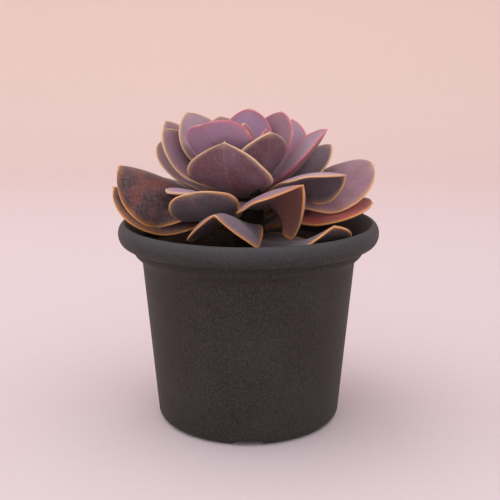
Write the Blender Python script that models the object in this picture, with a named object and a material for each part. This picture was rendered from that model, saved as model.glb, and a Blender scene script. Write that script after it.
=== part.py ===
"""Potted rosette succulent in a plastic nursery pot, at its real size.

Units are metres, +Z is up, the origin is the centre of the pot's flat foot, and the plant's
front faces -Y. The pot holds potting mix, a short stem stands in the mix, and every leaf is a
solid of its own that starts at the stem. Nothing here moves.
"""

import math

import bmesh
import bpy
import numpy as np
from mathutils import Matrix

MM = 0.001

# Pot: a rolled bead at the rim, a collar under it, a step, and a tapered wall
POT_HEIGHT = 0.0815
RIM_RADIUS = 0.0525
BEAD_HEIGHT = 0.0082
BEAD_OVERHANG = 0.0061
BEAD_ROUNDING = 0.0027
LIP_WIDTH = 0.0034
COLLAR_HEIGHT = 0.0070
COLLAR_STEP = 0.0033
WALL_TAPER = 0.0054
WALL = 0.0016
FOOT_FILLET = 0.0035
FLOOR = 0.0042
POT_SEGMENTS = 48

# Drainage under the foot: radial channels, each with a hole through the floor at its inner end
DRAIN_COUNT = 4
DRAIN_WIDTH = 0.0120
DRAIN_DEPTH = 0.0022
DRAIN_HOLE_RADIUS = 0.0040
DRAIN_CIRCLE = 0.0220
DRAIN_OVERRUN = 0.0050
DRAIN_MARGIN = 0.0015
DRAIN_HOLE_SEGMENTS = 16

# Potting mix and stem
CLEARANCE = 0.0003
HEADROOM = 0.0110
MIX_CROWN = 0.0010
STEM_RADIUS = 0.0060
STEM_TIP_RADIUS = 0.0044
STEM_BURIED = 0.0220
STEM_STRAIGHT = 0.0135
STEM_ABOVE = 0.0265
STEM_DOME = 0.0028
STEM_SEGMENTS = 20

# Rosette: the leaves below are sized for a plant this wide across its outer tips
TABLE_SPREAD = 0.108
ROSETTE_SPREAD = 0.108

# Seats climb the stem evenly, from the lowest leaf to the heart (mm above the mix)
LOWEST_SEAT = 4.0
HIGHEST_SEAT = 27.5
SEAT = 0.6
SEAT_LEAN = 1.0

# Blade: thickness along the midline as (share of the length, millimetres), and the outline
BLADE_THICKNESS = ((0.0, 1.2), (0.12, 2.2), (0.45, 2.4), (0.85, 1.6), (1.0, 0.7))
MARGIN_THICKNESS = 0.9
UPPER_SHARE = 0.35
CLAW_PINCH = 0.08
CLAW_PINCH_SHARE = 0.08
CLAW_CUP = 22.0
OPENS = 0.55
SPIKE_WIDTH = 0.035
SPIKE_SHARE = 0.035
SPIKE_TAPER = 0.05
SPIKE_POINT = 0.4
SWING = 0.35
BEND_AT_MIDLINE = 0.35
BEND_AT_MARGIN = 1.50
LEAF_STATIONS = 9
STATION_CROWDING = 1.15
ACROSS = (-1.0, -0.8, -0.4, 0.0, 0.4, 0.8, 1.0)

# What the leaves of a generation share. arch: how much the slope changes from seat to tip
# (degrees, + curls up, minus arches over). width: mm. roll: turn about the midline (degrees,
# + lifts the counter-clockwise half). cup_a, cup_b: upward bend of the clockwise and the
# counter-clockwise half (degrees, minus droops). belly: where the blade is widest (share of its
# length). claw: width near the seat as a share of the full width. shoulder: 0.45 blunt to 0.9
# pointed.
RINGS = {
    "heart": dict(arch=10, width=11, roll=0, cup_a=25, cup_b=25, claw=0.20, belly=0.62, shoulder=0.70),
    "inner": dict(arch=15, width=26, roll=0, cup_a=20, cup_b=20, claw=0.20, belly=0.62, shoulder=0.65),
    "middle": dict(arch=25, width=27, roll=0, cup_a=10, cup_b=10, claw=0.20, belly=0.65, shoulder=0.70),
    "outer": dict(arch=0, width=30, roll=0, cup_a=0, cup_b=0, claw=0.20, belly=0.64, shoulder=0.60),
}


def leaf(ring, heading, reach, rise, **changes):
    """One leaf: its generation's usual shape, and what this leaf does differently.

    heading is the direction of the tip (0 = +X, counter-clockwise, degrees), reach the distance
    from the plant's axis to the tip and rise the tip's height above the mix (mm). opens is the
    share of the length over which the claw turns into the open blade.
    """
    place = {"ring": ring, "heading": heading, "reach": reach, "rise": rise}
    return {**place, "opens": OPENS, **RINGS[ring], **changes}


def fan(ring, first, step, count, reach, rise, **changes):
    """Leaves alike, at even steps round the far side of the plant."""
    return [leaf(ring, first + step * i, reach, rise, **changes) for i in range(count)]


# From the heart outwards, which is also from the top of the stem down
LEAVES = [
    leaf("heart", 125, 3, 50, width=10),
    leaf("heart", -165, 8, 49),
    leaf("heart", -15, 7, 48, width=12),
    leaf("inner", 90, 13, 55, width=22, cup_a=30),
    leaf("inner", -60, 16, 48, width=29, roll=5, cup_a=0, cup_b=20, belly=0.55, shoulder=0.85),
    leaf("inner", 42, 18, 54, width=24, cup_a=10, cup_b=10),
    leaf("inner", -135, 26, 51, width=29, arch=-30, roll=15, cup_a=10, cup_b=20, shoulder=0.50),
    leaf("middle", -2, 31, 48, width=22, cup_b=30),
    leaf("middle", 163, 26, 54, roll=-20),
    leaf("middle", -114, 22, 45, width=36, arch=75, cup_a=0, cup_b=0, belly=0.52, shoulder=0.90),
    leaf("middle", 50, 29, 50, width=22, roll=12, cup_a=5, cup_b=20),
    leaf("middle", 115, 29, 51, width=23, roll=-15),
    leaf("outer", -28, 42, 32, width=26, arch=-45, roll=-25, cup_a=-25, cup_b=-50, shoulder=0.55),
    leaf("middle", -179, 34, 48, width=23, roll=-30),
    leaf("middle", 155, 38, 50, width=15, roll=-40),
    leaf("middle", 75, 34, 46),
    leaf("outer", -57, 37, 30, width=41, opens=0.30, arch=-25, roll=-12, cup_a=-30, cup_b=-80,
         claw=0.42, belly=0.45),
    leaf("middle", 15, 35, 41, width=25, roll=8),
    leaf("outer", -144, 38, 26, width=21, arch=-40),
    leaf("middle", 152, 42, 41, width=33),
    leaf("outer", -127, 37, 27, width=28, arch=55, roll=19, cup_b=10, shoulder=0.45),
    *fan("middle", 55, 40, 2, 43, 37, arch=10, width=30, roll=15),
    leaf("outer", -5, 50, 34, arch=-10, roll=30, cup_a=-15, cup_b=-15, claw=0.10, shoulder=0.45),
    leaf("outer", -170, 52, 34, width=40, arch=-20, roll=-20, cup_a=-30, cup_b=-50, shoulder=0.45),
    *fan("outer", 25, 44, 3, 48, 28, width=29, roll=8),
    leaf("outer", 148, 50, 25, width=25),
    leaf("outer", -12, 50, 20, width=24, roll=12, claw=0.12, shoulder=0.45),
    leaf("outer", -106, 45, 21, width=36, arch=-30, cup_a=-40, cup_b=-45, claw=0.38),
    leaf("outer", -170, 54, 26, width=28, roll=-10, cup_a=-20, cup_b=-50, shoulder=0.45),
    *fan("outer", 45, 45, 3, 50, 20, width=29, roll=12),
    leaf("outer", -49, 48, 16, width=34, arch=40, cup_a=-20, cup_b=-15, claw=0.45, shoulder=0.45),
]

COLOURS = {
    "pot": ((0.048, 0.045, 0.047), 0.62),
    "potting_mix": ((0.035, 0.024, 0.017), 0.95),
    "stem": ((0.230, 0.180, 0.110), 0.75),
    "heart": ((0.360, 0.170, 0.250), 0.50),
    "inner": ((0.270, 0.150, 0.230), 0.50),
    "middle": ((0.230, 0.140, 0.180), 0.50),
    "outer": ((0.190, 0.120, 0.140), 0.50),
}


def clear_scene():
    """Empty the file of every object it starts with."""
    for item in list(bpy.data.objects):
        bpy.data.objects.remove(item, do_unlink=True)


def finish(name):
    """The finish of a sub-part: one Principled BSDF."""
    colour, roughness = COLOURS[name]
    material = bpy.data.materials.new(name)
    material.use_nodes = True
    shader = material.node_tree.nodes["Principled BSDF"]
    shader.inputs["Base Color"].default_value = (*colour, 1.0)
    shader.inputs["Roughness"].default_value = roughness
    shader.inputs["Metallic"].default_value = 0.0
    return material


def add_object(name, mesh, material=None, sharp_degrees=50.0):
    """Link a mesh to the scene as a smooth-shaded object."""
    item = bpy.data.objects.new(name, mesh)
    bpy.context.scene.collection.objects.link(item)
    if material:
        mesh.materials.append(material)
    mesh.shade_smooth()
    mesh.set_sharp_from_angle(angle=math.radians(sharp_degrees))
    return item


def arc(centre, radii, start, stop, count):
    """Points of an elliptical arc in the (radius, height) plane, angles in degrees."""
    angles = [math.radians(start + (stop - start) * i / (count - 1)) for i in range(count)]
    return [(centre[0] + radii[0] * math.cos(a), centre[1] + radii[1] * math.sin(a)) for a in angles]


def turned_mesh(name, profile, segments):
    """Turn a profile of (radius, height) about Z; it runs up the outside and ends on the axis."""
    mesh = bpy.data.meshes.new(name)
    bm = bmesh.new()
    rings = []
    for radius, height in profile:
        if radius < 1e-6:
            rings.append([bm.verts.new((0.0, 0.0, height))])
            continue
        turns = [2.0 * math.pi * i / segments for i in range(segments)]
        rings.append([bm.verts.new((radius * math.cos(t), radius * math.sin(t), height)) for t in turns])
    for lower, upper in zip(rings, rings[1:]):
        for i in range(segments):
            j = (i + 1) % segments
            if len(lower) == 1:
                bm.faces.new((lower[0], upper[j], upper[i]))
            elif len(upper) == 1:
                bm.faces.new((lower[i], lower[j], upper[0]))
            else:
                bm.faces.new((lower[i], lower[j], upper[j], upper[i]))
    bm.to_mesh(mesh)
    bm.free()
    return mesh


# ---- pot ----
COLLAR_RADIUS = RIM_RADIUS - BEAD_OVERHANG
WALL_TOP_RADIUS = COLLAR_RADIUS - COLLAR_STEP
BASE_RADIUS = WALL_TOP_RADIUS - WALL_TAPER
BEAD_BASE = POT_HEIGHT - BEAD_HEIGHT
COLLAR_BASE = BEAD_BASE - COLLAR_HEIGHT
MIX_TOP = POT_HEIGHT - HEADROOM


def wall_radius(height):
    """Outer radius of the tapered wall at a height, from the foot to the collar."""
    return BASE_RADIUS + WALL_TAPER * height / COLLAR_BASE


def inner_profile(gap):
    """The pot's inside from the floor to the bead, moved inwards and up by a gap."""
    inset = WALL + gap
    return [
        (wall_radius(FLOOR) - inset, FLOOR + gap),
        (WALL_TOP_RADIUS - inset, COLLAR_BASE + gap),
        (COLLAR_RADIUS - inset, COLLAR_BASE + COLLAR_STEP + gap),
        (COLLAR_RADIUS - inset, BEAD_BASE),
    ]


def make_pot():
    """The pot: a turned shell with drain channels and holes cut from under its foot."""
    half_bead = BEAD_HEIGHT / 2
    bead = arc((RIM_RADIUS - BEAD_ROUNDING, BEAD_BASE + half_bead), (BEAD_ROUNDING, half_bead), -90, 90, 7)
    foot = arc((BASE_RADIUS - FOOT_FILLET, FOOT_FILLET), (FOOT_FILLET, FOOT_FILLET), -90, 0, 4)
    outside = [(0.0, 0.0), *foot, (WALL_TOP_RADIUS, COLLAR_BASE)]
    outside += [(COLLAR_RADIUS, COLLAR_BASE + COLLAR_STEP), (COLLAR_RADIUS, BEAD_BASE), *bead]
    lip = (RIM_RADIUS - LIP_WIDTH, POT_HEIGHT - WALL / 2)
    inside = [lip, *reversed(inner_profile(0.0)), (0.0, FLOOR)]
    pot = add_object("pot", turned_mesh("pot", outside + inside, POT_SEGMENTS), finish("pot"))
    for index in range(DRAIN_COUNT):
        angle = 2.0 * math.pi * index / DRAIN_COUNT - math.pi / 2
        cut(pot, drain_channel(index, angle))
        cut(pot, drain_hole(index, angle))


def drain_channel(index, angle):
    """Cutter: a radial box that runs from just inside the drain hole out past the foot's edge."""
    start = DRAIN_CIRCLE - DRAIN_HOLE_RADIUS - DRAIN_MARGIN
    length = BASE_RADIUS + DRAIN_OVERRUN - start
    bm = bmesh.new()
    bmesh.ops.create_cube(bm, size=1.0)
    bmesh.ops.scale(bm, vec=(length, DRAIN_WIDTH, 2 * DRAIN_DEPTH), verts=bm.verts)
    bmesh.ops.translate(bm, vec=(start + length / 2, 0.0, 0.0), verts=bm.verts)
    return cutter(f"drain_channel_{index}", bm, angle)


def drain_hole(index, angle):
    """Cutter: an upright rod through the pot's floor, turned half a facet."""
    bm = bmesh.new()
    bmesh.ops.create_cone(bm, cap_ends=True, segments=DRAIN_HOLE_SEGMENTS, radius1=DRAIN_HOLE_RADIUS,
                          radius2=DRAIN_HOLE_RADIUS, depth=4 * FLOOR)
    half_facet = Matrix.Rotation(math.pi / DRAIN_HOLE_SEGMENTS, 3, "Z")
    bmesh.ops.rotate(bm, cent=(0.0, 0.0, 0.0), matrix=half_facet, verts=bm.verts)
    bmesh.ops.translate(bm, vec=(DRAIN_CIRCLE, 0.0, 0.0), verts=bm.verts)
    return cutter(f"drain_hole_{index}", bm, angle)


def cutter(name, bm, angle):
    """Turn a cutter to its place round the axis and keep it out of the model."""
    mesh = bpy.data.meshes.new(name)
    bm.to_mesh(mesh)
    bm.free()
    item = bpy.data.objects.new(name, mesh)
    bpy.context.scene.collection.objects.link(item)
    item.rotation_euler[2] = angle
    item.hide_render = True
    item.display_type = "WIRE"
    return item


def cut(item, tool):
    """Subtract a cutter from an object."""
    boolean = item.modifiers.new(tool.name, "BOOLEAN")
    boolean.operation = "DIFFERENCE"
    boolean.solver = "EXACT"
    boolean.object = tool


# ---- potting mix and stem ----
def growth():
    """Size of the plant against its leaf table."""
    return ROSETTE_SPREAD / TABLE_SPREAD


def make_mix():
    """Potting mix: fills the pot up to its headroom, with a pocket that the stem stands in."""
    pocket = STEM_RADIUS * growth() + CLEARANCE
    pocket_floor = MIX_TOP - STEM_BURIED - CLEARANCE
    inside = inner_profile(CLEARANCE)
    top_radius = COLLAR_RADIUS - WALL - CLEARANCE
    profile = [(0.0, FLOOR + CLEARANCE), *inside[:3], (top_radius, MIX_TOP - MIX_CROWN)]
    profile += [(top_radius / 2, MIX_TOP - MIX_CROWN / 4), (pocket, MIX_TOP)]
    profile += [(pocket, pocket_floor), (0.0, pocket_floor)]
    add_object("potting_mix", turned_mesh("potting_mix", profile, POT_SEGMENTS), finish("potting_mix"))


def stem_radius(level):
    """Radius of the stem at a level above the mix, in table millimetres."""
    bottom, top = STEM_STRAIGHT / MM, STEM_ABOVE / MM
    share = min(max((level - bottom) / (top - bottom), 0.0), 1.0)
    return (STEM_RADIUS + (STEM_TIP_RADIUS - STEM_RADIUS) * share) / MM


def make_stem():
    """Stem: straight where it stands in the mix, tapered among the leaves, domed at its tip."""
    size = growth()
    radius, tip = STEM_RADIUS * size, STEM_TIP_RADIUS * size
    shoulder = MIX_TOP + STEM_ABOVE * size
    dome = arc((0.0, shoulder), (tip, STEM_DOME * size), 0, 90, 4)[:-1]
    profile = [(0.0, MIX_TOP - STEM_BURIED), (radius, MIX_TOP - STEM_BURIED)]
    profile += [(radius, MIX_TOP + STEM_STRAIGHT * size), *dome, (0.0, shoulder + STEM_DOME * size)]
    add_object("stem", turned_mesh("stem", profile, STEM_SEGMENTS), finish("stem"))


# ---- leaves ----
def unit(vectors):
    """Vectors scaled to length one."""
    return vectors / np.maximum(np.linalg.norm(vectors, axis=-1, keepdims=True), 1e-9)


def ease(values):
    """Smooth step from 0 to 1."""
    held = np.clip(values, 0.0, 1.0)
    return held * held * (3.0 - 2.0 * held)


def half_width(shape, along):
    """Half width along a spoon-shaped blade: narrow claw, full belly, shoulders, short spike."""
    claw = shape["claw"] + (1.0 - shape["claw"]) * ease(along / shape["belly"])
    claw = claw - CLAW_PINCH * np.clip(1.0 - along / CLAW_PINCH_SHARE, 0.0, 1.0)
    beyond = np.clip((along - shape["belly"]) / (1.0 - shape["belly"]), 0.0, 1.0)
    shoulders = (1.0 - np.clip(beyond / (1.0 - SPIKE_SHARE), 0.0, 1.0) ** 2) ** shape["shoulder"]
    spike = SPIKE_WIDTH * np.clip((1.0 - beyond) / SPIKE_TAPER, 0.0, 1.0)
    return 0.5 * shape["width"] * np.maximum(np.where(along < shape["belly"], claw, shoulders), spike)


def midline(shape, level, along):
    """Points and directions along a leaf: a cubic curve from its seat on the stem to its tip.

    The slopes at the two ends lie half the arch below and half above the slope of the chord.
    """
    turn = math.radians(shape["heading"])
    outward = np.array([math.cos(turn), math.sin(turn)])
    chord = math.atan2(shape["rise"] - level, max(shape["reach"] - stem_radius(level), 1.0))
    out = chord - math.radians(shape["arch"]) / 2
    end = chord + math.radians(shape["arch"]) / 2
    seat = stem_radius(level) + SEAT + SEAT_LEAN * abs(math.sin(out))
    first = np.array([*(seat * outward), level])
    last = np.array([*(shape["reach"] * outward), shape["rise"]])
    swing = SWING * np.linalg.norm(last - first)
    second = first + swing * np.array([*(math.cos(out) * outward), math.sin(out)])
    third = last - swing * np.array([*(math.cos(end) * outward), math.sin(end)])
    t = along[:, None]
    points = (1 - t) ** 3 * first + 3 * (1 - t) ** 2 * t * second
    points = points + 3 * (1 - t) * t**2 * third + t**3 * last
    slopes = (1 - t) ** 2 * (second - first) + 2 * (1 - t) * t * (third - second) + t**2 * (last - third)
    return points, unit(slopes), np.array([-outward[1], outward[0], 0.0])


def bend(across, cup):
    """Sideways and upward shares of a half blade that bends more and more towards its margin."""
    start = BEND_AT_MIDLINE * cup
    change = (BEND_AT_MARGIN - BEND_AT_MIDLINE) * cup
    change = np.where(np.abs(change) < 1e-4, 1e-4, change)
    sideways = (np.sin(start + change * across) - np.sin(start)) / change
    upward = (np.cos(start) - np.cos(start + change * across)) / change
    return sideways, upward


def blade_rings(shape, level):
    """Closed rings of points round a leaf, from its seat to its tip, in table millimetres."""
    along = 1.0 - (1.0 - np.linspace(0.0, 1.0, LEAF_STATIONS)) ** STATION_CROWDING
    across = np.array(ACROSS)
    points, ahead, side = midline(shape, level, along)
    side = unit(side - (ahead @ side)[:, None] * ahead)
    up = np.cross(ahead, side)
    spread = ease(along / shape["opens"])[:, None]
    roll = math.radians(shape["roll"]) * spread
    side, up = side * np.cos(roll) + up * np.sin(roll), up * np.cos(roll) - side * np.sin(roll)
    claw_cup = math.radians(CLAW_CUP) * (1.0 - spread)
    side_a, up_a = bend(np.abs(across), claw_cup + math.radians(shape["cup_a"]) * spread)
    side_b, up_b = bend(np.abs(across), claw_cup + math.radians(shape["cup_b"]) * spread)
    width = half_width(shape, along)[:, None]
    sideways = np.where(across >= 0, side_b, -side_a) * width
    upward = np.where(across >= 0, up_b, up_a) * width
    middle = points[:, None] + sideways[..., None] * side[:, None] + upward[..., None] * up[:, None]
    normal = unit(np.cross(np.gradient(middle, axis=0), np.gradient(middle, axis=1)))
    normal[0] = normal[1]
    shares, depths = zip(*BLADE_THICKNESS)
    centre = np.interp(along, shares, depths)[:, None]
    margin = np.minimum(MARGIN_THICKNESS, centre)
    depth = (margin + (centre - margin) * (1.0 - across**2)) * (np.abs(across) < 0.999)
    upper = middle + UPPER_SHARE * depth[..., None] * normal
    lower = middle - (1.0 - UPPER_SHARE) * depth[..., None] * normal
    return np.concatenate([upper, lower[:, -2:0:-1]], axis=1), ahead[-1]


def make_leaf(name, shape, level, material):
    """A leaf: rings joined into a closed skin with a point at the seat and one at the tip."""
    rings, ahead = blade_rings(shape, level)
    stations, count = rings.shape[:2]
    seat = rings[0].mean(axis=0)
    tip = rings[-1].mean(axis=0) + SPIKE_POINT * ahead
    points = np.vstack([rings.reshape(-1, 3), seat, tip]) * MM * growth()
    points[:, 2] += MIX_TOP
    faces = []
    for j in range(count):
        k = (j + 1) % count
        faces.append((stations * count, j, k))
        faces.append((stations * count + 1, (stations - 1) * count + k, (stations - 1) * count + j))
        for i in range(stations - 1):
            faces.append((i * count + j, (i + 1) * count + j, (i + 1) * count + k, i * count + k))
    mesh = bpy.data.meshes.new(name)
    mesh.from_pydata(points.tolist(), [], faces)
    add_object(name, mesh, material)


def make_leaves():
    """Every leaf, numbered within its generation and seated by its place up the stem."""
    finishes = {ring: finish(ring) for ring in RINGS}
    made = {ring: 0 for ring in RINGS}
    seat_step = (HIGHEST_SEAT - LOWEST_SEAT) / (len(LEAVES) - 1)
    for order, shape in enumerate(LEAVES):
        ring = shape["ring"]
        made[ring] += 1
        make_leaf(f"{ring}_leaf_{made[ring]:02d}", shape, HIGHEST_SEAT - seat_step * order, finishes[ring])


def build():
    """Make every piece of the potted plant."""
    clear_scene()
    make_pot()
    make_mix()
    make_stem()
    make_leaves()


build()
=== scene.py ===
"""Looks of the potted rosette succulent: fine leaves, pot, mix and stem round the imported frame.

Leaves are worked out in millimetres above the potting mix and placed in metres. The leaf design
is the frame's own, on a finer grid. The plant's front faces -Y.
"""
import math

import bmesh
import bpy
import numpy as np
from mathutils import Matrix


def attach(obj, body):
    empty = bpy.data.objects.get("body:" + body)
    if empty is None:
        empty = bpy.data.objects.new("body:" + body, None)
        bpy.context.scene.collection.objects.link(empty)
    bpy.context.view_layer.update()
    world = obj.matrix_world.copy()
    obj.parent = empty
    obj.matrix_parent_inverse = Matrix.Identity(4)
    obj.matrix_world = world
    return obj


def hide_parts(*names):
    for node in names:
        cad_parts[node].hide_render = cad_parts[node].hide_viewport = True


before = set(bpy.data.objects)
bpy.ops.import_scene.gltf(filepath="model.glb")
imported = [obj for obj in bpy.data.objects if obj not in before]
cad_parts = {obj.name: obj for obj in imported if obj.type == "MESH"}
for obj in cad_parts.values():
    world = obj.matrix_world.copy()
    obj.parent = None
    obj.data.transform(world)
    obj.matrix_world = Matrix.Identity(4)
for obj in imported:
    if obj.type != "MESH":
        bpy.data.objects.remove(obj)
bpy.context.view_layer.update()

MM = 0.001

# ---------------------------------------------------------------- pot design, as in the frame
POT_HEIGHT = 0.0815
HEADROOM = 0.0110
RIM_RADIUS = 0.0525
BEAD_HEIGHT = 0.0082
BEAD_OVERHANG = 0.0061
BEAD_ROUNDING = 0.0027
LIP_WIDTH = 0.0034
COLLAR_HEIGHT = 0.0070
COLLAR_STEP = 0.0033
WALL_TAPER = 0.0054
WALL = 0.0016
FOOT_FILLET = 0.0035
FLOOR = 0.0042
DRAIN_COUNT = 4
DRAIN_WIDTH = 0.0120
DRAIN_DEPTH = 0.0022
DRAIN_HOLE_RADIUS = 0.0040
DRAIN_CIRCLE = 0.0220
COLLAR_RADIUS = RIM_RADIUS - BEAD_OVERHANG
WALL_TOP_RADIUS = COLLAR_RADIUS - COLLAR_STEP
BASE_RADIUS = WALL_TOP_RADIUS - WALL_TAPER
BEAD_BASE = POT_HEIGHT - BEAD_HEIGHT
COLLAR_BASE = BEAD_BASE - COLLAR_HEIGHT
MIX_TOP = POT_HEIGHT - HEADROOM

# ---------------------------------------------------------------- leaf design, as in the frame
LOWEST_SEAT = 4.0
HIGHEST_SEAT = 27.5
SEAT = 0.6
SEAT_LEAN = 1.0
STEM_RADIUS = 6.0
STEM_TIP_RADIUS = 4.4
STEM_STRAIGHT = 13.5
STEM_ABOVE = 26.5
BLADE_THICKNESS = ((0.0, 1.2), (0.12, 2.2), (0.45, 2.4), (0.85, 1.6), (1.0, 0.7))
MARGIN_THICKNESS = 0.9
UPPER_SHARE = 0.35
CLAW_PINCH = 0.08
CLAW_PINCH_SHARE = 0.08
CLAW_CUP = 22.0
OPENS = 0.55
SPIKE_WIDTH = 0.035
SPIKE_SHARE = 0.035
SPIKE_TAPER = 0.05
SWING = 0.35
BEND_AT_MIDLINE = 0.35
BEND_AT_MARGIN = 1.50

# ---------------------------------------------------------------- detail finer than the frame's
# The pot's in metres and degrees
CORNER = 0.0009  # length of the softening on either side of a corner
CORNER_SHARE = 0.45  # the most of a side that a softened corner may take
POT_SEGMENTS = 192
BEAD_STEPS = 25
FOOT_STEPS = 9
SHARP_ANGLE = 50.0
DRAIN_MARGIN = 0.0015  # from the drain hole to the inner end of its channel
DRAIN_OVERRUN = 0.0050  # how far the channel's cutter goes past the wall
HOLE_SEGMENTS = 48
# The leaves' in millimetres
STATIONS = 64
ACROSS_STEPS = 29
TIP_CROWDING = 1.35  # power that crowds the stations towards the tip
MARGIN_POWER = 14  # the higher, the tighter the round of the margin
WAVES = ((0.012, 9.0), (0.008, 21.0))  # share of the half width, radians along the leaf
CREASE_WIDTH = 0.10  # share of the half width
GROOVE_DEPTH = 0.125  # along the middle of the upper face
RIDGE_HEIGHT = 0.20  # along the middle of the under face
TIP_LENGTH = 0.35  # how far the closed end stands past the last station
TO_TIP_SHARE = 0.9  # of the straight line from seat to tip, for distances to the tip
FIRST_SEED = 100

# Usual shape of each generation, in millimetres and degrees. arch: how much steeper the tip runs
# than the seat. width: across the widest place. roll: turn about the midline. cup_a, cup_b: upward
# bend of either half. claw: width at the stem as a share of the widest. belly: the share of the
# length at which it is widest. shoulder: the lower, the blunter the tip.
RINGS = {
    "heart": dict(arch=10, width=11, roll=0, cup_a=25, cup_b=25, claw=0.20, belly=0.62, shoulder=0.70),
    "inner": dict(arch=15, width=26, roll=0, cup_a=20, cup_b=20, claw=0.20, belly=0.62, shoulder=0.65),
    "middle": dict(arch=25, width=27, roll=0, cup_a=10, cup_b=10, claw=0.20, belly=0.65, shoulder=0.70),
    "outer": dict(arch=0, width=30, roll=0, cup_a=0, cup_b=0, claw=0.20, belly=0.64, shoulder=0.60),
}

# Skin colours of the leaves, as 0-255 display values
SKIN = {
    "pearl": (176, 144, 158),
    "lilac": (166, 128, 154),
    "mauve": (150, 108, 122),
    "plum": (104, 60, 68),
    "maroon": (136, 72, 80),
    "slate": (104, 88, 98),
    "ash": (94, 80, 84),
    "dusk": (96, 80, 92),
    "copper": (154, 98, 84),
    "umber": (108, 66, 60),
    "bark": (64, 36, 34),
    "russet": (130, 58, 44),
    "ember": (182, 46, 32),
}
# Colours laid over the skin, from the clouds of bloom to the painted shade down by the stem (claw)
LEAF_TINT = {
    "bloom": (132, 122, 146),
    "flush": (150, 86, 96),
    "keel": (150, 100, 104),
    "rust": (110, 46, 26),
    "pink_margin": (204, 108, 130),
    "cream_margin": (218, 176, 134),
    "orange_margin": (226, 146, 68),
    "pale_margin": (232, 188, 128),
    "tip": (226, 196, 150),
    "powder": (178, 160, 172),
    # claw: painted shade, the dark colour laid over each leaf's base down by the stem
    "claw": (50, 28, 30),
}
# Upper face, under face, age (0 pink margin, 0.5 cream, 1 orange), rust (red stress, 0 to 1)
USUAL_LOOK = {
    "heart": ("lilac", "mauve", 0.0, 0.0),
    "inner": ("lilac", "mauve", 0.0, 0.0),
    "middle": ("mauve", "plum", 0.45, 0.0),
    "outer": ("slate", "umber", 1.0, 0.05),
}
OWN_LOOK = {
    "heart_leaf_01": ("lilac", "lilac", 0.3, 0.0),
    "inner_leaf_02": ("mauve", "plum", 0.65, 0.05),
    "inner_leaf_03": ("mauve", "lilac", 0.1, 0.0),
    "inner_leaf_04": ("lilac", "lilac", 0.0, 0.0),
    "middle_leaf_01": ("pearl", "maroon", 0.15, 0.0),
    "middle_leaf_02": ("pearl", "mauve", 0.45, 0.0),
    "middle_leaf_03": ("mauve", "plum", 0.70, 0.0),
    "middle_leaf_04": ("pearl", "mauve", 0.1, 0.0),
    "middle_leaf_05": ("mauve", "umber", 0.5, 0.0),
    "middle_leaf_06": ("mauve", "mauve", 0.65, 0.0),
    "middle_leaf_09": ("slate", "plum", 0.5, 0.0),
    "middle_leaf_10": ("mauve", "maroon", 0.65, 0.0),
    "outer_leaf_01": ("pearl", "ash", 0.80, 0.0),
    "outer_leaf_02": ("mauve", "copper", 1.0, 0.1),
    "outer_leaf_03": ("lilac", "mauve", 0.7, 0.0),
    "outer_leaf_04": ("slate", "ash", 0.85, 0.0),
    "outer_leaf_05": ("mauve", "plum", 0.85, 0.3),
    "outer_leaf_06": ("bark", "umber", 1.0, 0.9),
    "outer_leaf_11": ("ember", "russet", 1.0, 0.5),
    "outer_leaf_12": ("dusk", "umber", 1.0, 0.05),
    "outer_leaf_13": ("bark", "umber", 1.0, 0.4),
    "outer_leaf_17": ("slate", "umber", 1.0, 0.1),
}


def leaf(ring, heading, reach, rise, **changes):
    """One leaf: its generation's usual shape, and what this leaf does differently.

    heading is the direction of the tip (0 = +X, counter-clockwise, degrees), reach the distance
    from the plant's axis to the tip and rise the tip's height above the mix (mm). opens is the
    share of the length over which the claw turns into the open blade.
    """
    place = {"ring": ring, "heading": heading, "reach": reach, "rise": rise}
    return {**place, "opens": OPENS, **RINGS[ring], **changes}


def fan(ring, first, step, count, reach, rise, **changes):
    """Leaves alike, at even steps round the far side of the plant."""
    return [leaf(ring, first + step * i, reach, rise, **changes) for i in range(count)]


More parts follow.
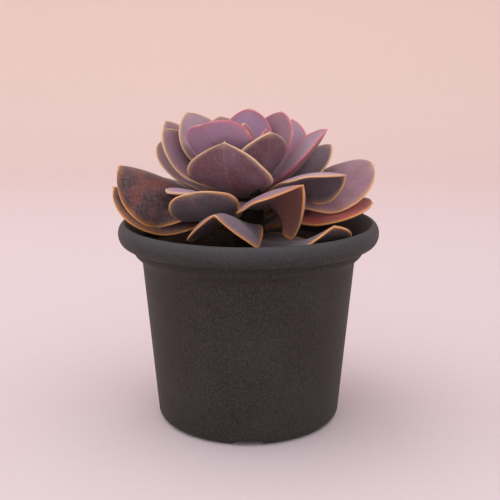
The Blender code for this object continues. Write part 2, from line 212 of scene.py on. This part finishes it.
# From the heart outwards, which is also from the top of the stem down
LEAVES = [
    leaf("heart", 125, 3, 50, width=10),
    leaf("heart", -165, 8, 49),
    leaf("heart", -15, 7, 48, width=12),
    leaf("inner", 90, 13, 55, width=22, cup_a=30),
    leaf("inner", -60, 16, 48, width=29, roll=5, cup_a=0, cup_b=20, belly=0.55, shoulder=0.85),
    leaf("inner", 42, 18, 54, width=24, cup_a=10, cup_b=10),
    leaf("inner", -135, 26, 51, width=29, arch=-30, roll=15, cup_a=10, cup_b=20, shoulder=0.50),
    leaf("middle", -2, 31, 48, width=22, cup_b=30),
    leaf("middle", 163, 26, 54, roll=-20),
    leaf("middle", -114, 22, 45, width=36, arch=75, cup_a=0, cup_b=0, belly=0.52, shoulder=0.90),
    leaf("middle", 50, 29, 50, width=22, roll=12, cup_a=5, cup_b=20),
    leaf("middle", 115, 29, 51, width=23, roll=-15),
    leaf("outer", -28, 42, 32, width=26, arch=-45, roll=-25, cup_a=-25, cup_b=-50, shoulder=0.55),
    leaf("middle", -179, 34, 48, width=23, roll=-30),
    leaf("middle", 155, 38, 50, width=15, roll=-40),
    leaf("middle", 75, 34, 46),
    leaf("outer", -57, 37, 30, width=41, opens=0.30, arch=-25, roll=-12, cup_a=-30, cup_b=-80,
         claw=0.42, belly=0.45),
    leaf("middle", 15, 35, 41, width=25, roll=8),
    leaf("outer", -144, 38, 26, width=21, arch=-40),
    leaf("middle", 152, 42, 41, width=33),
    leaf("outer", -127, 37, 27, width=28, arch=55, roll=19, cup_b=10, shoulder=0.45),
    *fan("middle", 55, 40, 2, 43, 37, arch=10, width=30, roll=15),
    leaf("outer", -5, 50, 34, arch=-10, roll=30, cup_a=-15, cup_b=-15, claw=0.10, shoulder=0.45),
    leaf("outer", -170, 52, 34, width=40, arch=-20, roll=-20, cup_a=-30, cup_b=-50, shoulder=0.45),
    *fan("outer", 25, 44, 3, 48, 28, width=29, roll=8),
    leaf("outer", 148, 50, 25, width=25),
    leaf("outer", -12, 50, 20, width=24, roll=12, claw=0.12, shoulder=0.45),
    leaf("outer", -106, 45, 21, width=36, arch=-30, cup_a=-40, cup_b=-45, claw=0.38),
    leaf("outer", -170, 54, 26, width=28, roll=-10, cup_a=-20, cup_b=-50, shoulder=0.45),
    *fan("outer", 45, 45, 3, 50, 20, width=29, roll=12),
    leaf("outer", -49, 48, 16, width=34, arch=40, cup_a=-20, cup_b=-15, claw=0.45, shoulder=0.45),
]


def unit(vectors):
    """Vectors scaled to length one."""
    return vectors / np.maximum(np.linalg.norm(vectors, axis=-1, keepdims=True), 1e-9)


def ease(values):
    """Smooth step from 0 to 1."""
    held = np.clip(values, 0.0, 1.0)
    return held * held * (3.0 - 2.0 * held)


def linked(name, data):
    """A new object for a mesh, a lamp or a camera, linked to the scene."""
    item = bpy.data.objects.new(name, data)
    bpy.context.scene.collection.objects.link(item)
    return item


def tube_faces(rows, count, turn_over=False):
    """Faces of a closed tube of rows rings with count points each.

    Point number = row * count + place in the ring. The first ring's end point comes after all the
    rings and the last ring's end point after that. turn_over faces them the other way.
    """
    row = np.arange(rows - 1)[:, None] * count
    here = np.arange(count)
    after = (here + 1) % count
    last = (rows - 1) * count
    quads = np.stack([row + here, row + count + here, row + count + after, row + after], axis=-1)
    start = np.stack([np.full(count, rows * count), here, after], axis=-1)
    stop = np.stack([np.full(count, rows * count + 1), last + after, last + here], axis=-1)
    faces = []
    for part in (quads.reshape(-1, 4), start, stop):
        if turn_over:
            part = np.concatenate([part[:, :1], part[:, :0:-1]], axis=1)
        faces += part.tolist()
    return faces


def stem_radius(level):
    """Radius of the stem at a level above the mix."""
    share = min(max((level - STEM_STRAIGHT) / (STEM_ABOVE - STEM_STRAIGHT), 0.0), 1.0)
    return STEM_RADIUS + (STEM_TIP_RADIUS - STEM_RADIUS) * share


def half_width(shape, along):
    """Half width along a spoon-shaped blade: narrow claw, full belly, shoulders, short spike."""
    claw = shape["claw"] + (1.0 - shape["claw"]) * ease(along / shape["belly"])
    claw = claw - CLAW_PINCH * np.clip(1.0 - along / CLAW_PINCH_SHARE, 0.0, 1.0)
    beyond = np.clip((along - shape["belly"]) / (1.0 - shape["belly"]), 0.0, 1.0)
    shoulders = (1.0 - np.clip(beyond / (1.0 - SPIKE_SHARE), 0.0, 1.0) ** 2) ** shape["shoulder"]
    spike = SPIKE_WIDTH * np.clip((1.0 - beyond) / SPIKE_TAPER, 0.0, 1.0)
    return 0.5 * shape["width"] * np.maximum(np.where(along < shape["belly"], claw, shoulders), spike)


def midline(shape, level, along):
    """Points and directions along a leaf: a cubic curve whose end slopes differ by the arch."""
    turn = math.radians(shape["heading"])
    outward = np.array([math.cos(turn), math.sin(turn)])
    chord = math.atan2(shape["rise"] - level, max(shape["reach"] - stem_radius(level), 1.0))
    out = chord - math.radians(shape["arch"]) / 2
    end = chord + math.radians(shape["arch"]) / 2
    seat = stem_radius(level) + SEAT + SEAT_LEAN * abs(math.sin(out))
    first = np.array([*(seat * outward), level])
    last = np.array([*(shape["reach"] * outward), shape["rise"]])
    swing = SWING * np.linalg.norm(last - first)
    second = first + swing * np.array([*(math.cos(out) * outward), math.sin(out)])
    third = last - swing * np.array([*(math.cos(end) * outward), math.sin(end)])
    t = along[:, None]
    points = (1 - t) ** 3 * first + 3 * (1 - t) ** 2 * t * second
    points = points + 3 * (1 - t) * t**2 * third + t**3 * last
    slopes = (1 - t) ** 2 * (second - first) + 2 * (1 - t) * t * (third - second) + t**2 * (last - third)
    return points, unit(slopes), np.array([-outward[1], outward[0], 0.0])


def bend(across, cup):
    """Sideways and upward shares of a half blade that bends more and more towards its margin."""
    start = BEND_AT_MIDLINE * cup
    change = (BEND_AT_MARGIN - BEND_AT_MIDLINE) * cup
    change = np.where(np.abs(change) < 1e-4, 1e-4, change)
    sideways = (np.sin(start + change * across) - np.sin(start)) / change
    upward = (np.cos(start) - np.cos(start + change * across)) / change
    return sideways, upward


def margin_wave(along, phases):
    """Wave of a margin as a share of the half width: sines of the way along."""
    return sum(height * np.sin(rate * along + phase) for (height, rate), phase in zip(WAVES, phases))


def blade_points(shape, level, along, across, phases):
    """Points of a closed leaf on a grid of (along, around), then its two end points, in mm.

    A point is the midline's point, plus the half blade's sideways and upward bend times the half
    width, plus or minus the blade's depth along the surface normal. The depth falls off with the
    square of the distance from the midline and closes in a round margin. The margin waves by a
    few tenths of a millimetre. Also gives the half width at each station and the leaf's length.
    """
    points, ahead, side = midline(shape, level, along)
    side = unit(side - (ahead @ side)[:, None] * ahead)
    up = np.cross(ahead, side)
    spread = ease(along / shape["opens"])[:, None]
    roll = math.radians(shape["roll"]) * spread
    side, up = side * np.cos(roll) + up * np.sin(roll), up * np.cos(roll) - side * np.sin(roll)
    claw_cup = math.radians(CLAW_CUP) * (1.0 - spread)
    side_a, up_a = bend(np.abs(across), claw_cup + math.radians(shape["cup_a"]) * spread)
    side_b, up_b = bend(np.abs(across), claw_cup + math.radians(shape["cup_b"]) * spread)
    width = half_width(shape, along)[:, None]
    is_b = across >= 0
    wave_a, wave_b = margin_wave(along, phases[:2]), margin_wave(along, phases[2:])
    wave = np.where(is_b, wave_b[:, None], wave_a[:, None]) * np.abs(across) ** 2
    sideways = np.where(is_b, side_b, -side_a) * width * (1.0 + wave)
    upward = np.where(is_b, up_b, up_a) * width + wave * width
    middle = points[:, None] + sideways[..., None] * side[:, None] + upward[..., None] * up[:, None]
    normal = unit(np.cross(np.gradient(middle, axis=0), np.gradient(middle, axis=1)))
    # Right at the seat the claw is too narrow for a steady normal, so the third station's is used
    normal[:2] = normal[2]
    shares, depths = zip(*BLADE_THICKNESS)
    centre = np.interp(along, shares, depths)[:, None]
    margin = np.minimum(MARGIN_THICKNESS, centre)
    rounding = np.sqrt(np.clip(1.0 - np.abs(across) ** MARGIN_POWER, 0.0, 1.0))
    depth = (margin + (centre - margin) * (1.0 - across**2)) * rounding
    crease = np.exp(-((across / CREASE_WIDTH) ** 2)) * np.sin(math.pi * along[:, None]) ** 2
    upper = middle + (UPPER_SHARE * depth - GROOVE_DEPTH * crease)[..., None] * normal
    lower = middle - ((1.0 - UPPER_SHARE) * depth + RIDGE_HEIGHT * crease)[..., None] * normal
    rings = np.concatenate([upper, lower[:, -2:0:-1]], axis=1)
    ends = [rings[0].mean(axis=0), rings[-1].mean(axis=0) + TIP_LENGTH * ahead[-1]]
    return np.vstack([rings.reshape(-1, 3), ends]), width, np.linalg.norm(points[-1] - points[0])


def skin_values(along, across, width, length):
    """Where each point of a leaf lies: distance to the nearest edge in mm, shares along and
    across, and upper face (1) or under face (0)."""
    around = np.concatenate([across, across[-2:0:-1]])
    is_upper = np.concatenate([np.ones(ACROSS_STEPS), np.zeros(ACROSS_STEPS - 2)])
    is_upper[[0, ACROSS_STEPS - 1]] = 0.5
    to_margin = (1.0 - np.abs(around)) * width
    to_tip = (1.0 - along)[:, None] * TO_TIP_SHARE * length
    grids = {
        "edge": np.minimum(to_margin, to_tip),
        "along": np.repeat(along[:, None], len(around), axis=1),
        "across": np.repeat(around[None], STATIONS, axis=0),
        "upper": np.repeat(is_upper[None], STATIONS, axis=0),
    }
    return {key: np.concatenate([grid.ravel(), grid[0, :1], grid[-1, :1]]) for key, grid in grids.items()}


def fine_leaf(name, shape, look, level, material, seed):
    """A leaf as a closed skin whose attributes carry what its material reads."""
    rng = np.random.default_rng(seed)
    along = 1.0 - (1.0 - np.linspace(0.0, 1.0, STATIONS)) ** TIP_CROWDING
    across = -np.cos(np.linspace(0.0, math.pi, ACROSS_STEPS))
    phases = rng.uniform(0.0, 2.0 * math.pi, 4)
    points, width, length = blade_points(shape, level, along, across, phases)
    points = points * MM
    points[:, 2] += MIX_TOP
    attributes = skin_values(along, across, width, length)
    upper_colour, under_colour, attributes["age"], attributes["rust"] = look
    attributes["tone"] = rng.uniform(0.0, 1.0)
    mesh = bpy.data.meshes.new(name)
    mesh.from_pydata(points.tolist(), [], tube_faces(STATIONS, 2 * ACROSS_STEPS - 2))
    mesh.shade_smooth()
    size = len(points)
    for key, values in attributes.items():
        layer = mesh.attributes.new(key, "FLOAT", "POINT")
        layer.data.foreach_set("value", np.full(size, values, dtype=np.float32))
    for key, colour in (("upper_colour", upper_colour), ("under_colour", under_colour)):
        layer = mesh.attributes.new(key, "FLOAT_COLOR", "POINT")
        layer.data.foreach_set("color", np.tile(srgb(*SKIN[colour]), size).astype(np.float32))
    mesh.materials.append(material)
    return linked(name, mesh)


# ---------------------------------------------------------------- node helpers
def srgb(red, green, blue):
    """A colour given in 0-255 display values, as linear RGBA."""
    values = np.array([red, green, blue]) / 255.0
    linear = np.where(values <= 0.04045, values / 12.92, ((values + 0.055) / 1.055) ** 2.4)
    return (*linear.tolist(), 1.0)


class Nodes:
    """Short calls that add nodes to a tree and link them."""

    def __init__(self, tree):
        self.tree = tree

    def add(self, kind, **settings):
        """A new node with its settings."""
        node = self.tree.nodes.new(kind)
        for key, value in settings.items():
            setattr(node, key, value)
        return node

    def feed(self, socket, value):
        """Link a node's output to a socket, or set the socket to a constant."""
        if isinstance(value, bpy.types.NodeSocket):
            self.tree.links.new(value, socket)
        else:
            socket.default_value = value

    def attribute(self, name, output="Fac"):
        """A mesh attribute, as a number or as a colour."""
        return self.add("ShaderNodeAttribute", attribute_name=name).outputs[output]

    def place(self):
        """The point's place on the object."""
        return self.add("ShaderNodeTexCoord").outputs["Object"]

    def axis(self, name):
        """The point's X, Y or Z on the object."""
        node = self.add("ShaderNodeSeparateXYZ")
        self.feed(node.inputs[0], self.place())
        return node.outputs[name]

    def math(self, operation, a, b=0.0):
        """A sum, difference, product or absolute value."""
        node = self.add("ShaderNodeMath", operation=operation)
        self.feed(node.inputs[0], a)
        self.feed(node.inputs[1], b)
        return node.outputs[0]

    def span(self, value, low, high, to_low=0.0, to_high=1.0):
        """A smooth step from to_low at low to to_high at high."""
        node = self.add("ShaderNodeMapRange", interpolation_type="SMOOTHSTEP")
        for index, item in enumerate((value, low, high, to_low, to_high)):
            self.feed(node.inputs[index], item)
        return node.outputs[0]

    def grey(self, value):
        """A number as a grey."""
        node = self.add("ShaderNodeCombineColor")
        for socket in node.inputs[:3]:
            self.feed(socket, value)
        return node.outputs[0]

    def mix(self, share, a, b, blend="MIX"):
        """Colour a with colour b laid over it by a share."""
        node = self.add("ShaderNodeMix", data_type="RGBA", blend_type=blend)
        self.feed(node.inputs[0], share)
        self.feed(node.inputs[6], a)
        self.feed(node.inputs[7], b)
        return node.outputs[2]

    def noise(self, scale, detail=4.0, roughness=0.5):
        """Noise of 0 to 1 in object coordinates; the scale is in cells per metre."""
        node = self.add("ShaderNodeTexNoise")
        node.inputs["Scale"].default_value = scale
        node.inputs["Detail"].default_value = detail
        node.inputs["Roughness"].default_value = roughness
        self.feed(node.inputs["Vector"], self.place())
        return node.outputs[0]


def new_material(name, roughness=0.5, **constants):
    """A material with its Principled shader; constants are set on the sockets."""
    material = bpy.data.materials.new(name)
    material.use_nodes = True
    shader = material.node_tree.nodes["Principled BSDF"]
    shader.inputs["Roughness"].default_value = roughness
    for key, value in constants.items():
        shader.inputs[key.replace("_", " ")].default_value = value
    return material, Nodes(material.node_tree), shader


def bump(nodes, shader, height, strength, distance):
    """A bump from a height in 0-1 over a distance in metres."""
    node = nodes.add("ShaderNodeBump")
    node.inputs["Strength"].default_value = strength
    node.inputs["Distance"].default_value = distance
    nodes.feed(node.inputs["Height"], height)
    nodes.feed(shader.inputs["Normal"], node.outputs[0])


def leaf_skin():
    """Shared colour of the leaves: bloom, margins, rust and speckle from a leaf's attributes, and painted
    shade down by the stem.
    """
    group = bpy.data.node_groups.new("leaf_skin", "ShaderNodeTree")
    for key, kind in (("Color", "NodeSocketColor"), ("Roughness", "NodeSocketFloat"),
                      ("Height", "NodeSocketFloat")):
        group.interface.new_socket(key, in_out="OUTPUT", socket_type=kind)
    nodes = Nodes(group)
    outputs = nodes.add("NodeGroupOutput")
    edge, along = nodes.attribute("edge"), nodes.attribute("along")
    across, tone = nodes.attribute("across"), nodes.attribute("tone")
    upper, age, rust = nodes.attribute("upper"), nodes.attribute("age"), nodes.attribute("rust")
    soft, fine, patch = nodes.noise(110.0, 3.0), nodes.noise(1100.0, 5.0, 0.6), nodes.noise(260.0, 4.0)
    tint = {key: srgb(*values) for key, values in LEAF_TINT.items()}
    under_colour, upper_colour = (nodes.attribute(key, "Color") for key in ("under_colour", "upper_colour"))
    colour = nodes.mix(upper, under_colour, upper_colour)
    # Blue bloom in soft clouds, flushes of pink, and each leaf a little lighter or darker
    colour = nodes.mix(nodes.span(soft, 0.42, 0.66, 0.0, 0.22), colour, tint["bloom"])
    colour = nodes.mix(nodes.span(patch, 0.48, 0.72, 0.0, 0.20), colour, tint["flush"])
    shade = nodes.math("ADD", nodes.math("MULTIPLY", tone, 0.16), 0.92)
    colour = nodes.mix(1.0, colour, nodes.grey(shade), "MULTIPLY")
    # A faint keel line up the under side, and rust towards the tip and the outer half
    keel = nodes.span(nodes.math("ABSOLUTE", across), 0.0, 0.07, 0.30, 0.0)
    keel = nodes.math("MULTIPLY", keel, nodes.math("SUBTRACT", 1.0, upper))
    colour = nodes.mix(keel, colour, tint["keel"])
    stain = nodes.math("MULTIPLY", nodes.span(soft, 0.40, 0.58), rust)
    stain = nodes.math("MULTIPLY", stain, nodes.span(along, 0.25, 0.75, 0.25, 1.0))
    colour = nodes.mix(stain, colour, tint["rust"])
    # A warm flush inside the margin, then the thin bright margin itself
    pink = nodes.mix(nodes.span(age, 0.1, 0.5), tint["pink_margin"], tint["cream_margin"])
    margin = nodes.mix(nodes.span(age, 0.7, 1.0), pink, tint["orange_margin"])
    margin = nodes.mix(nodes.span(patch, 0.5, 0.75, 0.0, 0.5), margin, tint["pale_margin"])
    wobble = nodes.math("MULTIPLY", nodes.math("SUBTRACT", patch, 0.5), 0.6)
    reach = nodes.math("ADD", edge, wobble)
    colour = nodes.mix(nodes.span(reach, 0.6, 3.2, 0.30, 0.0), colour, margin)
    colour = nodes.mix(nodes.span(reach, 0.45, 1.10, 0.95, 0.0), colour, margin)
    colour = nodes.mix(nodes.span(along, 0.975, 1.0, 0.0, 0.6), colour, tint["tip"])
    # Powdery bloom, rubbed off in small spots, and painted shade that darkens each leaf down by the stem,
    # where the leaves crowd
    colour = nodes.mix(nodes.span(fine, 0.35, 0.7, 0.0, 0.16), colour, tint["powder"])
    # Painted shade: each leaf darkens towards its base by the stem
    colour = nodes.mix(nodes.span(along, 0.02, 0.40, 0.70, 0.0), colour, tint["claw"])
    nodes.feed(outputs.inputs[0], colour)
    nodes.feed(outputs.inputs[1], nodes.span(fine, 0.3, 0.75, 0.46, 0.66))
    nodes.feed(outputs.inputs[2], nodes.math("ADD", nodes.math("MULTIPLY", fine, 0.35), soft))
    return group


def leaf_material(name, group):
    """A leaf generation's material, fed by the shared leaf skin."""
    material, nodes, shader = new_material(name, Subsurface_Weight=0.06, Subsurface_Scale=0.002,
                                           Specular_IOR_Level=0.35, Sheen_Weight=0.15)
    skin = nodes.add("ShaderNodeGroup", node_tree=group)
    nodes.feed(shader.inputs["Base Color"], skin.outputs[0])
    nodes.feed(shader.inputs["Roughness"], skin.outputs[1])
    bump(nodes, shader, skin.outputs[2], 0.25, 0.0004)
    return material


def pot_material():
    """Matte charcoal plastic: an even moulded grain, a faint dusty haze, tiny pale flecks and a painted
    bluish highlight along the upper edge.
    """
    material, nodes, shader = new_material("pot_plastic", Specular_IOR_Level=0.3)
    grain, fleck, haze = nodes.noise(1300.0, 4.0, 0.7), nodes.noise(900.0, 1.0), nodes.noise(40.0, 3.0)
    # high: share of the painted highlight, rising towards the top of the rim
    high = nodes.span(nodes.axis("Z"), BEAD_BASE, POT_HEIGHT)
    colour = nodes.mix(nodes.span(grain, 0.35, 0.65), srgb(26, 20, 18), srgb(58, 50, 47))
    colour = nodes.mix(nodes.span(haze, 0.40, 0.70, 0.0, 0.10), colour, srgb(84, 80, 82))
    colour = nodes.mix(nodes.span(fleck, 0.70, 0.78, 0.0, 0.25), colour, srgb(104, 98, 98))
    # Painted highlight: the rim is lightened to a bluish grey towards its top
    colour = nodes.mix(nodes.math("MULTIPLY", high, 0.40), colour, srgb(80, 82, 88))
    nodes.feed(shader.inputs["Base Color"], colour)
    nodes.feed(shader.inputs["Roughness"], nodes.span(grain, 0.25, 0.75, 0.50, 0.68))
    bump(nodes, shader, grain, 0.8, 0.0003)
    return material


def mix_material():
    """Dark crumbly potting mix with pale specks of perlite."""
    material, nodes, shader = new_material("potting_mix_fine", Specular_IOR_Level=0.2)
    crumb, speck = nodes.noise(700.0, 6.0, 0.7), nodes.noise(420.0, 2.0)
    colour = nodes.mix(nodes.span(crumb, 0.3, 0.7), srgb(26, 18, 14), srgb(58, 42, 32))
    colour = nodes.mix(nodes.span(speck, 0.68, 0.74), colour, srgb(150, 140, 126))
    nodes.feed(shader.inputs["Base Color"], colour)
    nodes.feed(shader.inputs["Roughness"], nodes.span(crumb, 0.3, 0.7, 0.85, 0.98))
    bump(nodes, shader, crumb, 0.9, 0.0012)
    return material


def stem_material():
    """Dull brown stem with ring scars where old leaves fell."""
    material, nodes, shader = new_material("stem_bark", Specular_IOR_Level=0.25)
    rings = nodes.add("ShaderNodeTexWave", wave_type="BANDS", bands_direction="Z")
    rings.inputs["Scale"].default_value = 160.0
    rings.inputs["Distortion"].default_value = 4.0
    nodes.feed(rings.inputs["Vector"], nodes.place())
    scar = rings.outputs["Fac"]
    colour = nodes.mix(scar, srgb(26, 18, 14), srgb(48, 34, 25))
    nodes.feed(shader.inputs["Base Color"], colour)
    nodes.feed(shader.inputs["Roughness"], nodes.span(scar, 0.2, 0.8, 0.7, 0.9))
    bump(nodes, shader, scar, 0.5, 0.0005)
    return material


def turned(name, profile, segments, material):
    """A closed surface turned about Z from an open profile of (radius, height) in metres that
    starts and ends on the axis: x = r cos a, y = r sin a, z = height."""
    rings = np.array(profile)
    angle = np.arange(segments) * 2.0 * math.pi / segments
    inner = rings[1:-1]
    xyz = np.stack([inner[:, :1] * np.cos(angle), inner[:, :1] * np.sin(angle),
                    np.repeat(inner[:, 1:], segments, axis=1)], axis=-1).reshape(-1, 3)
    ends = np.array([[0, 0, rings[0, 1]], [0, 0, rings[-1, 1]]])
    mesh = bpy.data.meshes.new(name)
    mesh.from_pydata(np.vstack([xyz, ends]).tolist(), [], tube_faces(len(inner), segments, turn_over=True))
    mesh.shade_smooth()
    mesh.set_sharp_from_angle(angle=math.radians(SHARP_ANGLE))
    mesh.materials.append(material)
    return linked(name, mesh)


# ---------------------------------------------------------------- pieces
def add_leaves():
    """Every leaf, in the frame's order, standing for the frame's node of the same name."""
    group = leaf_skin()
    materials = {ring: leaf_material(f"{ring}_leaf_skin", group) for ring in RINGS}
    made = {ring: 0 for ring in RINGS}
    step = (HIGHEST_SEAT - LOWEST_SEAT) / (len(LEAVES) - 1)
    for order, shape in enumerate(LEAVES):
        ring = shape["ring"]
        made[ring] += 1
        node = f"{ring}_leaf_{made[ring]:02d}"
        look = OWN_LOOK.get(node, USUAL_LOOK[ring])
        level = HIGHEST_SEAT - step * order
        item = fine_leaf(f"{node}_fine", shape, look, level, materials[ring], FIRST_SEED + order)
        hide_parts(node)
        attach(item, "root")


def arc(centre, radii, start, stop, count):
    """Points of an elliptical arc in the (radius, height) plane, angles in degrees."""
    angles = np.radians(np.linspace(start, stop, count))
    return np.stack([centre[0] + radii[0] * np.cos(angles), centre[1] + radii[1] * np.sin(angles)], axis=1)


def rounded(points, size, steps=5):
    """A profile whose corners are replaced by short quadratic curves from size before each corner
    to size after it."""
    points = np.array(points, dtype=float)
    t = np.linspace(0.0, 1.0, steps)[:, None]
    result = [points[:1]]
    for before, corner, after in zip(points, points[1:], points[2:]):
        lengths = [np.linalg.norm(before - corner), np.linalg.norm(after - corner)]
        start = corner + (before - corner) * min(size / lengths[0], CORNER_SHARE)
        stop = corner + (after - corner) * min(size / lengths[1], CORNER_SHARE)
        result.append((1 - t) ** 2 * start + 2 * t * (1 - t) * corner + t**2 * stop)
    return np.vstack([*result, points[-1:]])


def drain_cutter(kind, angle):
    """A cutter at one drain: the channel under the foot, or the hole through the floor."""
    bm = bmesh.new()
    if kind == "channel":
        start = DRAIN_CIRCLE - DRAIN_HOLE_RADIUS - DRAIN_MARGIN
        length = BASE_RADIUS + DRAIN_OVERRUN - start
        bmesh.ops.create_cube(bm, size=1.0)
        bmesh.ops.scale(bm, vec=(length, DRAIN_WIDTH, 2 * DRAIN_DEPTH), verts=bm.verts)
        bmesh.ops.translate(bm, vec=(start + length / 2, 0.0, 0.0), verts=bm.verts)
    else:
        bmesh.ops.create_cone(bm, cap_ends=True, segments=HOLE_SEGMENTS, radius1=DRAIN_HOLE_RADIUS,
                              radius2=DRAIN_HOLE_RADIUS, depth=4 * FLOOR)
        bmesh.ops.translate(bm, vec=(DRAIN_CIRCLE, 0.0, 0.0), verts=bm.verts)
    bmesh.ops.rotate(bm, cent=(0, 0, 0), matrix=Matrix.Rotation(angle, 3, "Z"), verts=bm.verts)
    mesh = bpy.data.meshes.new(f"drain_{kind}")
    bm.to_mesh(mesh)
    bm.free()
    return linked(mesh.name, mesh)


def add_pot():
    """The pot at a fine grain: a turned shell with softened corners, less its drains."""
    half_bead = BEAD_HEIGHT / 2
    bead = arc((RIM_RADIUS - BEAD_ROUNDING, BEAD_BASE + half_bead), (BEAD_ROUNDING, half_bead), -90, 90,
               BEAD_STEPS)
    foot = arc((BASE_RADIUS - FOOT_FILLET, FOOT_FILLET), (FOOT_FILLET, FOOT_FILLET), -90, 0, FOOT_STEPS)
    collar = rounded([foot[-1], (WALL_TOP_RADIUS, COLLAR_BASE), (COLLAR_RADIUS, COLLAR_BASE + COLLAR_STEP),
                      (COLLAR_RADIUS, BEAD_BASE), bead[0]], CORNER)
    lip = (RIM_RADIUS - LIP_WIDTH, POT_HEIGHT - WALL / 2)
    floor_radius = BASE_RADIUS + WALL_TAPER * FLOOR / COLLAR_BASE - WALL
    inside = rounded([bead[-1], lip, (COLLAR_RADIUS - WALL, BEAD_BASE),
                      (COLLAR_RADIUS - WALL, COLLAR_BASE + COLLAR_STEP),
                      (WALL_TOP_RADIUS - WALL, COLLAR_BASE), (floor_radius, FLOOR), (0.0, FLOOR)], CORNER)
    profile = np.vstack([[(0.0, 0.0)], foot, collar[1:-1], bead, inside[1:]])
    pot = turned("pot_fine", profile, POT_SEGMENTS, pot_material())
    cutters = [drain_cutter(kind, math.pi * 2 * i / DRAIN_COUNT - math.pi / 2)
               for i in range(DRAIN_COUNT) for kind in ("channel", "hole")]
    for tool in cutters:
        boolean = pot.modifiers.new(tool.name, "BOOLEAN")
        boolean.operation = "DIFFERENCE"
        boolean.object = tool
    solid = bpy.data.meshes.new_from_object(pot.evaluated_get(bpy.context.evaluated_depsgraph_get()))
    pot.modifiers.clear()
    pot.data = solid
    for tool in cutters:
        bpy.data.objects.remove(tool)
    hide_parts("pot")
    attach(pot, "root")


def dress(node, material):
    """Give a frame node its detailed material."""
    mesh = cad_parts[node].data
    mesh.materials.clear()
    mesh.materials.append(material)


add_leaves()
add_pot()
dress("potting_mix", mix_material())
dress("stem", stem_material())


# ---------------------------------------------------------------- stage, light and camera
STAGE_FRONT = -8.0
STAGE_BACK = 1.2
STAGE_HALF_WIDTH = 8.0
STAGE_HEIGHT = 2.2
SWEEP_RADIUS = 0.5  # of the curve between the floor and the backdrop
SWEEP_STEPS = 17
WARM_FROM = 0.1  # the paper turns warmer from here to the backdrop
WORLD_COLOUR = (0.98, 0.98, 1.0, 1.0)
WORLD_STRENGTH = 1.10
# Name, place, the point it looks at, size in metres, power in watts and colour
LAMPS = (
    ("key", (-0.40, 0.05, 0.95), (0.0, 0.0, 0.05), 0.8, 1.9, (1.0, 0.98, 0.96)),
    ("backdrop", (0.0, 0.35, 1.3), (0.0, 0.9, 0.0), 1.0, 0.8, (1.0, 0.98, 0.97)),
)
CAMERA_PLACE = (0.0, -0.349, 0.150)
CAMERA_TILT = 76.94  # degrees up from looking straight down
SENSOR_WIDTH = 36.0
FOCAL_LENGTH = 63.17
LENS_SHIFT = 0.003


def add_stage():
    """A pale floor that curves up into a backdrop: a strip between two long edges."""
    centre = (STAGE_BACK - SWEEP_RADIUS, SWEEP_RADIUS)
    sweep = arc(centre, (SWEEP_RADIUS, SWEEP_RADIUS), -90, 0, SWEEP_STEPS)
    curve = np.vstack([[(STAGE_FRONT, 0.0)], sweep, [(STAGE_BACK, STAGE_HEIGHT)]])
    sides = np.tile([-STAGE_HALF_WIDTH, STAGE_HALF_WIDTH], len(curve))
    points = np.column_stack([sides, np.repeat(curve, 2, axis=0)])
    faces = 2 * np.arange(len(curve) - 1)[:, None] + [0, 1, 3, 2]
    mesh = bpy.data.meshes.new("stage")
    mesh.from_pydata(points.tolist(), [], faces.tolist())
    mesh.shade_smooth()
    material, nodes, shader = new_material("stage_paper", roughness=0.9, Specular_IOR_Level=0.1)
    warm = nodes.span(nodes.axis("Y"), WARM_FROM, STAGE_BACK)
    paper = nodes.mix(warm, srgb(222, 205, 209), srgb(227, 198, 190))
    fibre = nodes.span(nodes.noise(300.0, 3.0), 0.3, 0.7, 0.0, 0.04)
    nodes.feed(shader.inputs["Base Color"], nodes.mix(fibre, paper, srgb(180, 160, 158)))
    mesh.materials.append(material)
    item = linked("stage", mesh)


def add_area(name, place, aim, size, power, colour):
    """A soft square lamp that looks at a point."""
    lamp = bpy.data.lights.new(name, "AREA")
    lamp.size = size
    lamp.energy = power
    lamp.color = colour
    item = linked(name, lamp)
    item.location = place
    way = np.array(aim) - np.array(place)
    tilt = math.acos(-way[2] / np.linalg.norm(way))
    item.rotation_euler = (tilt, 0.0, math.atan2(way[0], -way[1]) + math.pi)


def add_world():
    """Soft even light from all round."""
    world = bpy.data.worlds.new("studio")
    world.use_nodes = True
    back = world.node_tree.nodes["Background"]
    back.inputs["Color"].default_value = WORLD_COLOUR
    back.inputs["Strength"].default_value = WORLD_STRENGTH
    bpy.context.scene.world = world


def add_camera():
    """The camera stands in front of the plant and looks down on it by 13 degrees."""
    lens = bpy.data.cameras.new("camera")
    lens.sensor_width = SENSOR_WIDTH
    lens.lens = FOCAL_LENGTH
    lens.shift_x = LENS_SHIFT
    item = linked("camera", lens)
    item.location = CAMERA_PLACE
    item.rotation_euler = (math.radians(CAMERA_TILT), 0.0, 0.0)
    bpy.context.scene.camera = item


add_stage()
add_world()
for lamp_settings in LAMPS:
    add_area(*lamp_settings)
add_camera()
bpy.context.scene.view_settings.view_transform = "Standard"
